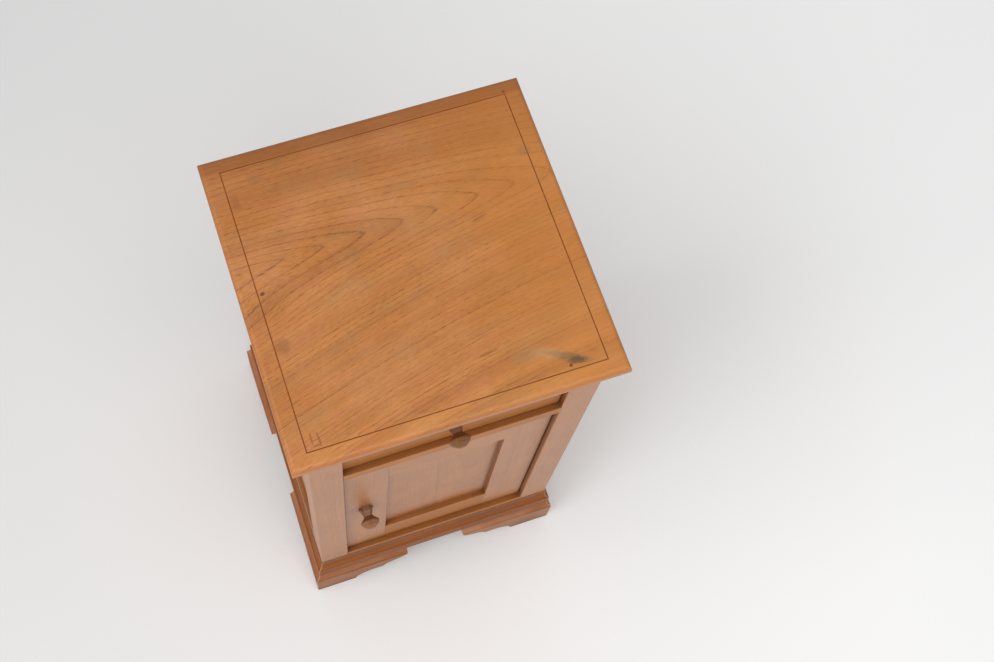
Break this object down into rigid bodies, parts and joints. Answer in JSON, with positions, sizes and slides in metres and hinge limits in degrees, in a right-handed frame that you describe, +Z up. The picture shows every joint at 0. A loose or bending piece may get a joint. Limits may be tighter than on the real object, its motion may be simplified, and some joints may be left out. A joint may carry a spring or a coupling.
{
  "type": "storage side table",
  "caption": "Square wooden bedside cupboard with a drawer over a panelled door, a lined overhanging top and scrolled bracket feet.",
  "frame": {"origin": "on the floor, in the middle of the box that holds the whole piece", "axes": "+X to the right seen from the front, +Y to the back, +Z up"},
  "size_m": [0.39, 0.3956, 0.78],
  "materials": {
    "show_wood": "old waxed hardwood, warm orange brown, soft sheen",
    "inner_wood": "plain unpolished secondary wood",
    "dark_line": "dark stained inlaid line, waxed flush",
    "steel": "plain drawn steel",
    "brass": "aged unlacquered brass"
  },
  "bodies": {
    "carcass": {"back_panel": "inner_wood", "back_rail_low": "inner_wood", "back_rail_top": "inner_wood", "base_moulding_back": "show_wood", "base_moulding_front": "show_wood", "base_moulding_left": "show_wood", "base_moulding_right": "show_wood", "catch_strike": "brass", "cupboard_floor": "inner_wood", "divider_rail": "show_wood", "door_pivot_pins": "steel", "door_pivot_washer": "brass", "door_stop": "inner_wood", "drawer_kicker_left": "inner_wood", "drawer_kicker_right": "inner_wood", "drawer_runner_left": "inner_wood", "drawer_runner_right": "inner_wood", "drawer_stops": "inner_wood", "floor_bearer_left": "inner_wood", "floor_bearer_right": "inner_wood", "foot_back_left": "show_wood", "foot_back_right": "show_wood", "foot_front_left": "show_wood", "foot_front_right": "show_wood", "foot_left_back": "show_wood", "foot_left_front": "show_wood", "foot_right_back": "show_wood", "foot_right_front": "show_wood", "front_rail_low": "show_wood", "front_rail_top": "show_wood", "glue_blocks": "inner_wood", "left_panel": "show_wood", "left_rail_low": "show_wood", "left_rail_top": "show_wood", "post_back_left": "show_wood", "post_back_right": "show_wood", "post_front_left": "show_wood", "post_front_right": "show_wood", "right_panel": "show_wood", "right_rail_low": "show_wood", "right_rail_top": "show_wood", "top_board": "show_wood", "top_screws": "steel", "top_stringing": "dark_line"},
    "door": {"door_stile_left": "show_wood", "door_stile_right": "show_wood", "door_rail_top": "show_wood", "door_rail_low": "show_wood", "door_panel": "show_wood", "door_knob": "show_wood", "ball_catch": "brass"},
    "drawer": {"drawer_front": "show_wood", "drawer_side_left": "inner_wood", "drawer_side_right": "inner_wood", "drawer_back": "inner_wood", "drawer_bottom": "inner_wood", "drawer_knob": "show_wood"}
  },
  "joints": [
    {"name": "door_hinge", "type": "hinge", "parent": "carcass", "child": "door", "pos_m": [0.121, -0.16275, 0.383], "axis": [0, 0, 1], "range_deg": [0, 110]},
    {"name": "drawer_slide", "type": "slide", "parent": "carcass", "child": "drawer", "axis": [0, -1, 0], "range_m": [0, 0.24]}
  ]
}
